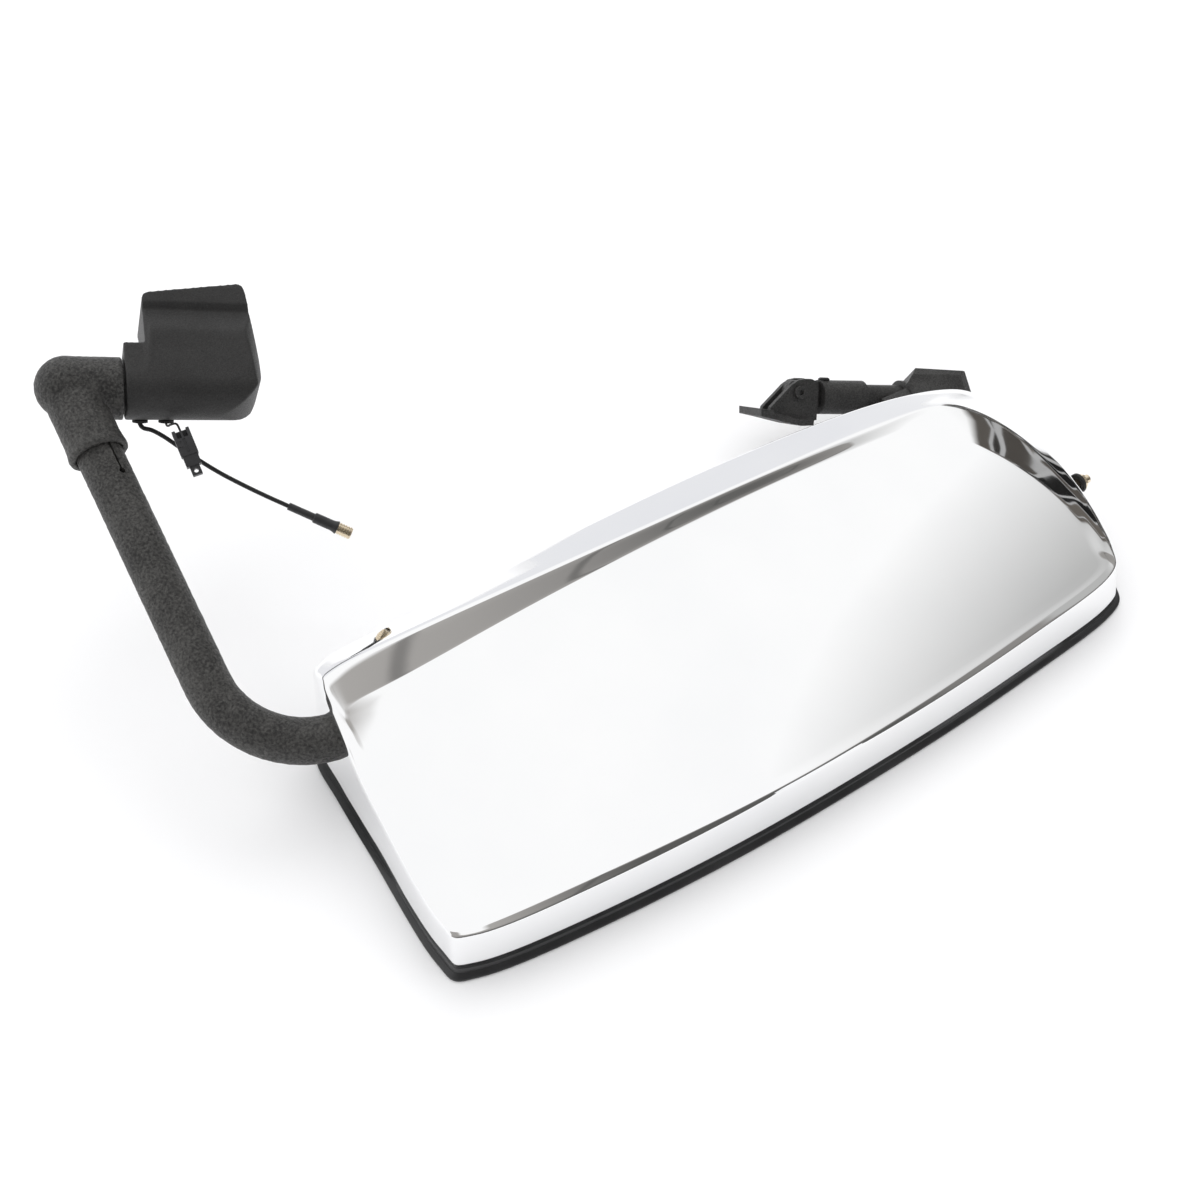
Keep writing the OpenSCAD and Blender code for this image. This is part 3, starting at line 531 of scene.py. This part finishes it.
# ------------------------------------------------------------------ chrome shell
# Closed loops of matching points round the head, in mm: its foot, and the lines where its section turns.
RIM = [(-262, -86, 13), (-246, -107, 10), (-162, -118, 9), (-37, -123, 8), (108, -119, 7.5),
       (225, -110, 7), (312, -99, 5), (337, -80, 4), (350, -28, 4), (356, 30, 4), (353, 85, 4),
       (332, 118, 5), (240, 129, 6), (97, 134, 6), (-60, 133, 6), (-190, 127, 5), (-243, 118, 4),
       (-258, 98, 3.5), (-260, 60, 3.5), (-261, 5, 4)]
SHOULDER = [(-259, -81, 41), (-244, -104, 40), (-161, -114.5, 40), (-37, -119.5, 40),
            (107, -115.5, 40), (222, -106, 40), (305, -95, 41), (326, -77, 49), (341, -29, 60),
            (352, 30, 63), (350, 80, 65), (329, 112, 72), (240, 126, 82), (97, 132, 83), (-60, 129, 81),
            (-190, 122, 81), (-240, 113, 84), (-251, 94, 85), (-254, 58, 78), (-258, 5, 57)]
RIDGE = [(-256, -79, 42.6), (-242, -101.5, 41.8), (-161, -112, 41.8), (-37, -117, 41.8),
         (107, -113, 41.8), (221, -103.5, 41.8), (302, -92.5, 43), (316, -76, 50.5), (328, -30, 63.5),
         (330, 28, 74), (314, 70, 83), (284, 89, 89), (223, 92, 93), (97, 91, 97), (-58, 92, 98),
         (-190, 93, 97), (-239, 91, 95), (-249, 84, 91), (-251, 57, 80), (-254.5, 5, 59)]
FACE = [(-251, -77), (-238, -97), (-160, -107), (-37, -112),
        (106, -108), (219, -98.5), (298, -88), (309, -71), (313, -32),
        (299, 14), (277, 50), (255, 74), (220, 82), (96, 84.5), (-60, 77.5),
        (-190, 69), (-236, 66.5), (-246, 60), (-247, 46), (-249, 4)]
DOME, MID, SUB = 4.0, Vector((20, -12)), 14


def face_z(x, y):
    """Height of the shell's broad face over the plan, as in the CAD source."""
    u, v = (x - 20) / 300, (y + 12) / 120
    return (67.8 + 8 * u + 28 * v - 3.5 * u * u - 1.5 * v * v - 0.6 * u ** 3 + 5.8 * u * u * v
            - 15.4 * u * v * v + DOME * (1 - u * u) * (1 - v * v) * 0.8)


def around(control):
    """A closed smooth loop through control, with SUB points to each span."""
    c = [Vector(p) for p in control]
    n = len(c)
    return [catmull(c[i - 1], c[i], c[(i + 1) % n], c[(i + 2) % n], j / SUB)
            for i in range(n) for j in range(SUB)]


def fillet(a, x, b, d, n=7):
    """Points of a smooth turn at x between a and b, which begins and ends d away from x."""
    da, db = min(d, 0.47 * (a - x).length), min(d, 0.47 * (b - x).length)
    p, q = x + (a - x).normalized() * da, x + (b - x).normalized() * db
    return [p * (1 - t) ** 2 + x * (2 * t * (1 - t)) + q * t * t
            for t in (k / (n - 1) for k in range(n))]


NEAR_Y, NEAR_FADE, FACE_STEPS = -60, 35, 22


def shell_rings():
    """Rings of the shell from its foot up over the shoulder and ridge, then in across the face."""
    rim, shoulder, ridge = around(RIM), around(SHOULDER), around(RIDGE)
    face = [Vector((p.x, p.y, face_z(p.x, p.y))) for p in around([(x, y, 0) for x, y in FACE])]
    columns = []
    for r, s, g, f in zip(rim, shoulder, ridge, face):
        def inner(t):
            x, y = MID.x + t * (f.x - MID.x), MID.y + t * (f.y - MID.y)
            return Vector((x, y, face_z(x, y)))
        column = [r]
        # The viewer's long edge is a crisp one: there the ridge runs on level with the face.
        near = min(1.0, max(0.0, (-s.y + NEAR_Y) / NEAR_FADE))
        level = f + (f - inner(0.97)).normalized() * ((g - f).length + 0.9) + Vector((0, 0, 0.25))
        g, s = g.lerp(level, near), s + Vector((0, 0, 0.6)) * near
        s_turn = fillet(r, s, g, 5.0 - 4.0 * near)
        g_turn = fillet(s, g, f, 3.2 - 2.4 * near)
        f_turn = fillet(g, f, inner(0.88), 2.6)
        column += [r.lerp(s_turn[0], k / 6) for k in range(1, 6)] + s_turn
        column += [s_turn[-1].lerp(g_turn[0], k / 4) for k in range(1, 4)] + g_turn
        column += [g_turn[-1].lerp(f_turn[0], k / 4) for k in range(1, 4)] + f_turn
        start = f_turn[-1]
        reach = math.hypot(start.x - MID.x, start.y - MID.y) / math.hypot(f.x - MID.x, f.y - MID.y)
        column += [inner(reach * (1 - k / FACE_STEPS)) for k in range(1, FACE_STEPS)]
        columns.append(column)
    return [list(ring) for ring in zip(*columns)]


shell_top = shell_rings()
count = len(shell_top[0])
verts = [p for ring in shell_top for p in ring] + [Vector((MID.x, MID.y, face_z(*MID)))]
faces = [(k * count + i, k * count + (i + 1) % count,
          (k + 1) * count + (i + 1) % count, (k + 1) * count + i)
         for k in range(len(shell_top) - 1) for i in range(count)]
last = (len(shell_top) - 1) * count
faces += [(last + i, last + (i + 1) % count, len(verts) - 1) for i in range(count)]
shell = tidy_normals(mesh_object("shell_chrome", verts, faces))
if shell.data.polygons[-1].normal.z < 0:
    shell.data.flip_normals()
wall = shell.modifiers.new("wall", "SOLIDIFY")
wall.thickness, wall.offset = 0.0015, -1
finish_piece(shell, "head", CHROME, "bright_shell", "chrome_shell")


# ------------------------------------------------------------------ black rim
def plan_normals(loop):
    """Outward directions in plan, one to each point."""
    n = len(loop)
    out = []
    for i in range(n):
        d = loop[(i + 1) % n] - loop[i - 1]
        out.append(Vector((d.y, -d.x, 0)).normalized())
    return out


rim_loop = around(RIM)
rim_out = plan_normals(rim_loop)


def shrunk(p, k):
    """p moved in plan towards the rim's middle, by k mm at its ends and sides."""
    return Vector((47 + (p.x - 47) * (1 - k / 303), 5 + (p.y - 5) * (1 - k / 128), 0))


# The section, outside to inside. A height below 0 counts down from the shell's lower edge.
rim_rings = []
for inset, height in [(-2.4, 0.15), (-3.2, 0.5), (-3.7, 1.2), (-3.6, 2.1), (-3.1, 2.8), (-1.3, 4.3),
                      (-0.2, 5.0), (-0.05, -1.2), (0.25, -0.5), (0.7, -0.2),
                      (3.3, -0.2), (3.4, -1.0), (3.4, 3.4)]:
    ring = []
    for p, n in zip(rim_loop, rim_out):
        top = p.z - 0.1
        z = top + height if height < 0 else min(height, top - 1.2)
        ring.append(Vector((p.x, p.y, z)) - inset * n)
    rim_rings.append(ring)
for k, z in [(5.8, 3.0), (5.9, 9.4), (7.9, 9.4), (8.0, 3.0), (14.6, 3.0), (15.2, 2.4), (15.2, 0.5),
             (14.7, 0.0)]:
    rim_rings.append([shrunk(p, k) + Vector((0, 0, z)) for p in rim_loop])
rim_rings.append([Vector((p.x, p.y, 0)) - 1.6 * n for p, n in zip(rim_loop, rim_out)])
rim = by_angle(loft("rim_black", rim_rings, closed=True), 50)
# the bar between the two glasses
bar = box_prism("t", (Vector((0, 0, 0)), Matrix.Identity(3)), (-84, -109, 0.02), (-72, 121, 3))
rim = join("rim_black", [rim, bar])
finish_piece(rim, "head", RIM_PLASTIC, "black_plastic", "rim_frame")


# ------------------------------------------------------------------ lower arm
COAT_HUMPS = 330                    # noise scale of the coat's humps, per metre


def rough_skin(obj, depth_mm):
    """Lets the silhouette show the coat's humps."""
    mesh = obj.data
    mesh.update()
    moves = [v.normal * (depth_mm / 1000) * noise.noise(v.co * COAT_HUMPS) for v in mesh.vertices]
    for v, m in zip(mesh.vertices, moves):
        v.co += m
    return obj


# The points are about 2 to 4 mm apart, which the humps of the coat need.
BEND_STEPS, LEG_STEPS = 60, 130
path = [Vector((-120 - 4 * k, 66, 60)) for k in range(32)]
for k in range(BEND_STEPS + 1):
    t = math.radians(BEND * k / BEND_STEPS)
    path.append(ARM_IN + BEND_R * (math.sin(t) * Vector((-1, 0, 0))
                                   + (1 - math.cos(t)) * Vector((0, cos_rise, sin_rise))))
path += [KNEE + ARM_DIR * (TUBE_LEG * k / LEG_STEPS) for k in range(1, LEG_STEPS + 1)]
arm = sweep("arm_tube_long", path, ARM_R, 72)
# the clamping slit and the round eye at its end
SLIT_TURN = rot("Z", 150)
slit = prism("t", (SLEEVE[0], SLEEVE[1] @ SLIT_TURN),
             [(11, -0.75), (20, -0.75), (20, 0.75), (11, 0.75)], 44, 78)
boolean(arm, slit)
eye = (at(SLEEVE, (0, 0, 79)), SLEEVE[1] @ SLIT_TURN @ rot("Y", 90))
boolean(arm, lathe("t", eye, [(0.01, 9), (2.2, 9), (2.2, 22), (0.01, 22)], 24))
rough_skin(by_angle(arm, 40), 0.28)
finish_piece(arm, "head", WRINKLE, "black_textured_steel", "lower_arm_tube")

# ------------------------------------------------------------------ elbow
def arc(x, y, r, angles):
    """Points of a circle about (x, y), at angles in degrees."""
    return [(x + r * math.cos(math.radians(a)), y + r * math.sin(math.radians(a))) for a in angles]


capsule = [(0.01, -22.4)] + arc(0, 0, 22.4, range(-84, 1, 6))
capsule += [(22.1, 2), (22, 20), (22, 36), (0.01, 36)]
elbow = lathe("t", MOUNT, capsule, 72, closed=False)
barrel = lathe("t", SLEEVE, [
    (0.01, 0), (19.6, 0), (19.6, 44), (20.1, 50), (20.9, 54), (20.3, 56.6), (18.6, 57.2),
    (16.4, 56.8), (16.2, 40), (0.01, 40)], 72, closed=False)
elbow = melt(join("elbow_cast", [elbow, barrel]), 4)
rough_skin(elbow, 0.25)
finish_piece(elbow, "head", WRINKLE, "black_textured_alloy", "lower_elbow")

# ------------------------------------------------------------------ lower mount cover
# The cover is what three outlines have in common: its side, its section across the fold axis, and a
# limit.
side = [(37.4, -22), (101, -22)] + arc(101, 10, 32, range(-84, 1, 6))
side += [(124.8, 69), (123.5, 72.5), (120, 74), (56.5, 65.2), (53.2, 63.6), (52, 60.2), (52, 25),
         (37.4, 25)]
across = arc(0, 0, 22, range(96, 265, 8))
# half width at each distance from the axis, narrow in the groove below the flange
flare = [(20, 24.3), (30, 25.8), (33.5, 26.1), (37, 25.7), (49, 22), (53.2, 21.2), (55.4, 23.6),
         (57, 25), (70, 26.4), (80, 26.8)]
across += [(b, -w) for b, w in flare] + [(b, w) for b, w in reversed(flare)]
cover = prism("cover_lower", MOUNT, side, -40, 40, "zx")
boolean(cover, prism("t", MOUNT, across, 30, 140), "INTERSECT")
# below the flange, the lower-right end is rounded across its width too
END_R, END_Z = 24, 133
end = [(-22.2, 30), (-22.2, 51), (-24, 54.5), (-30, 58), (-30, END_Z - END_R)] + [
    (-30 + END_R * (1 - math.cos(math.radians(a))), END_Z - END_R + END_R * math.sin(math.radians(a)))
    for a in range(9, 91, 9)]
end += [(-w, z) for w, z in reversed(end)]
limit = prism("t", MOUNT, end, -60, 51, "yz")
boolean(limit, box_prism("t", MOUNT, (50.5, -60, 30), (100, 60, 150)), "UNION")
boolean(cover, limit, "INTERSECT")
cover = melt(cover, 6)
finish_piece(cover, "lower_mount", COVER_PLASTIC, "black_plastic", "mount_cover")

# ------------------------------------------------------------------ the rest keeps its CAD shape
FINISHES = {
    "black_plastic": BLACK_PLASTIC, "black_textured_steel": WRINKLE_FINE,
    "black_textured_alloy": WRINKLE_FINE, "zinc_steel": ZINC, "bronze": BRONZE, "plug_brass": BRASS,
    "mirror_glass": MIRROR, "heater_film": FILM, "lead_rubber": RUBBER, "bright_shell": CHROME}
SLOTS = {s["node"]: s["material_slot"] for s in frame["record"]["subparts"]}
# Nodes that get bevelled edges, and how wide, in mm.
EDGES = {"foot_bracket": 0.8, "upper_arm_block": 1.2, "upper_sleeve": 0.7, "foot_bolt": 0.35,
         "foot_nut": 0.4, "mount_base": 0.6, "inner_frame": 0.5, "main_actuator": 0.8,
         "spot_holder": 0.8, "antenna_nut": 0.3, "antenna_stud": 0.3, "sleeve_grease_cap": 0.4,
         "main_carrier": 0.4, "spot_carrier": 0.4}
SPECIAL = {"pan_jack_rod": ROD_PLASTIC, "tilt_jack_rod": ROD_PLASTIC}
for name, node in frame["nodes"].items():
    if node.hide_render:
        continue
    material = SPECIAL.get(name, FINISHES[SLOTS[name]])
    if name in EDGES:
        mesh = node.data.copy()
        piece = link(bpy.data.objects.new(name + "_finished", mesh))
        bm = bmesh.new()
        bm.from_mesh(mesh)
        bmesh.ops.remove_doubles(bm, verts=bm.verts, dist=1e-6)
        bmesh.ops.dissolve_limit(bm, angle_limit=math.radians(1), verts=bm.verts, edges=bm.edges)
        bm.to_mesh(mesh)
        bm.free()
        by_angle(piece, 32)
        bevel(piece, EDGES[name], 3, 32)
        finish_piece(piece, frame["nodes"][name]["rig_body"], material, SLOTS[name], name)
    else:
        node.data.materials.clear()
        node.data.materials.append(material)
        by_angle(node, 32)

# ------------------------------------------------------------------ floor, light
FLOOR = 9000                        # half its side, in mm
floor = mesh_object("floor", [(-FLOOR, -FLOOR, 0), (FLOOR, -FLOOR, 0), (FLOOR, FLOOR, 0),
                              (-FLOOR, FLOOR, 0)], [(0, 1, 2, 3)])
floor.location.z = -0.0002          # just clear of the rim
pale = material_nodes("pale_floor")
pale_tint = pale.mix(pale.remap(pale.noise(3, 2), 0.3, 0.7, 0, 1),
                     (0.93, 0.93, 0.935), (0.95, 0.95, 0.955))
floor.data.materials.append(pale.principled(pale_tint, 0.7))

# Glossy rays see a white studio with one open grey side above the viewer and a dim shelf wall past
# the head's upper end. All other rays see plain near-white.
world = bpy.data.worlds.new("studio")
SCENE.world = world
studio = Nodes(world, "World", "Generated")
direction = studio.add("ShaderNodeSeparateXYZ")
studio.put(direction.inputs[0], studio.coord)
dx, dy, dz = direction.outputs
slant = studio.math("SUBTRACT", dx, studio.math("MULTIPLY", dy, 0.8))
sky = studio.mix(studio.remap(slant, 0.42, 0.86, 0, 1), (1.0, 1.0, 1.0), (0.47, 0.47, 0.465))
sky = studio.mix(studio.remap(dy, 0.55, 0.8, 0, 1), sky, (0.82, 0.825, 0.85))
edge = studio.math("MULTIPLY", studio.math("SUBTRACT", dx, 0.22), 0.7)
opening = studio.math("SUBTRACT", studio.math("MULTIPLY", dy, -1.0),
                      studio.math("MAXIMUM", edge, 0.03))
open_grey = studio.mix(studio.remap(dy, -0.75, -0.08, 0, 1),
                       (0.105, 0.104, 0.100), (0.40, 0.385, 0.37))
spread = studio.math("MULTIPLY", studio.math("DIVIDE", dx, dz), 4.6)
bars = studio.math("FRACT", studio.math("ADD", spread, 0.45))
from_bar = studio.math("ABSOLUTE", studio.math("SUBTRACT", bars, 0.5))
open_grey = studio.mix(studio.remap(from_bar, 0.02, 0.07, 0.55, 0), open_grey, (0.08, 0.08, 0.078))
sky = studio.mix(studio.remap(opening, 0.0, 0.035, 0, 1), sky, open_grey)
plane = studio.add("ShaderNodeCombineXYZ")
studio.put(plane.inputs[0], studio.math("DIVIDE", dy, dx))
studio.put(plane.inputs[1], studio.math("DIVIDE", dz, dx))
shelves = studio.add("ShaderNodeTexBrick", offset=0.37, squash=0.7, squash_frequency=3)
studio.put(shelves.inputs["Vector"], plane.outputs[0])
for key, value in (("Scale", 3.1), ("Mortar Size", 0.035), ("Mortar Smooth", 0.3), ("Bias", -0.1),
                   ("Brick Width", 0.62), ("Row Height", 0.5)):
    studio.put(shelves.inputs[key], value)
for key, value in (("Color1", (0.012, 0.012, 0.012, 1)), ("Color2", (0.15, 0.135, 0.12, 1)),
                   ("Mortar", (0.42, 0.42, 0.42, 1))):
    studio.put(shelves.inputs[key], value)
shelf_wall = studio.math("MULTIPLY", studio.remap(dx, 0.735, 0.755, 0, 1),
                         studio.remap(dz, -0.2, -0.15, 0, 1))
sky = studio.mix(shelf_wall, sky, shelves.outputs["Color"])
mirrored = studio.add("ShaderNodeLightPath").outputs["Is Glossy Ray"]
background = studio.add("ShaderNodeBackground")
studio.put(background.inputs["Color"], studio.mix(mirrored, (0.97, 0.97, 0.975), sky))
studio.put(background.inputs["Strength"], 1.04)
studio.tree.links.new(background.outputs[0], studio.out.inputs[0])


def soft_box(name, where, aim, size, power):
    """A soft area light that no mirror shows."""
    light = bpy.data.lights.new(name, "AREA")
    light.shape, light.size, light.size_y, light.energy = "RECTANGLE", size[0], size[1], power
    obj = link(bpy.data.objects.new(name, light))
    obj.location = where
    obj.rotation_mode = "QUATERNION"
    obj.rotation_quaternion = (Vector(aim) - Vector(where)).to_track_quat("-Z", "Y")
    obj.visible_glossy = False
    return obj


soft_box("key", (1.3, 1.5, 2.6), (0, 0, 0), (2.2, 2.2), 22)
soft_box("fill", (-1.8, 0.8, 2.4), (0, 0, 0), (2.0, 2.0), 10)
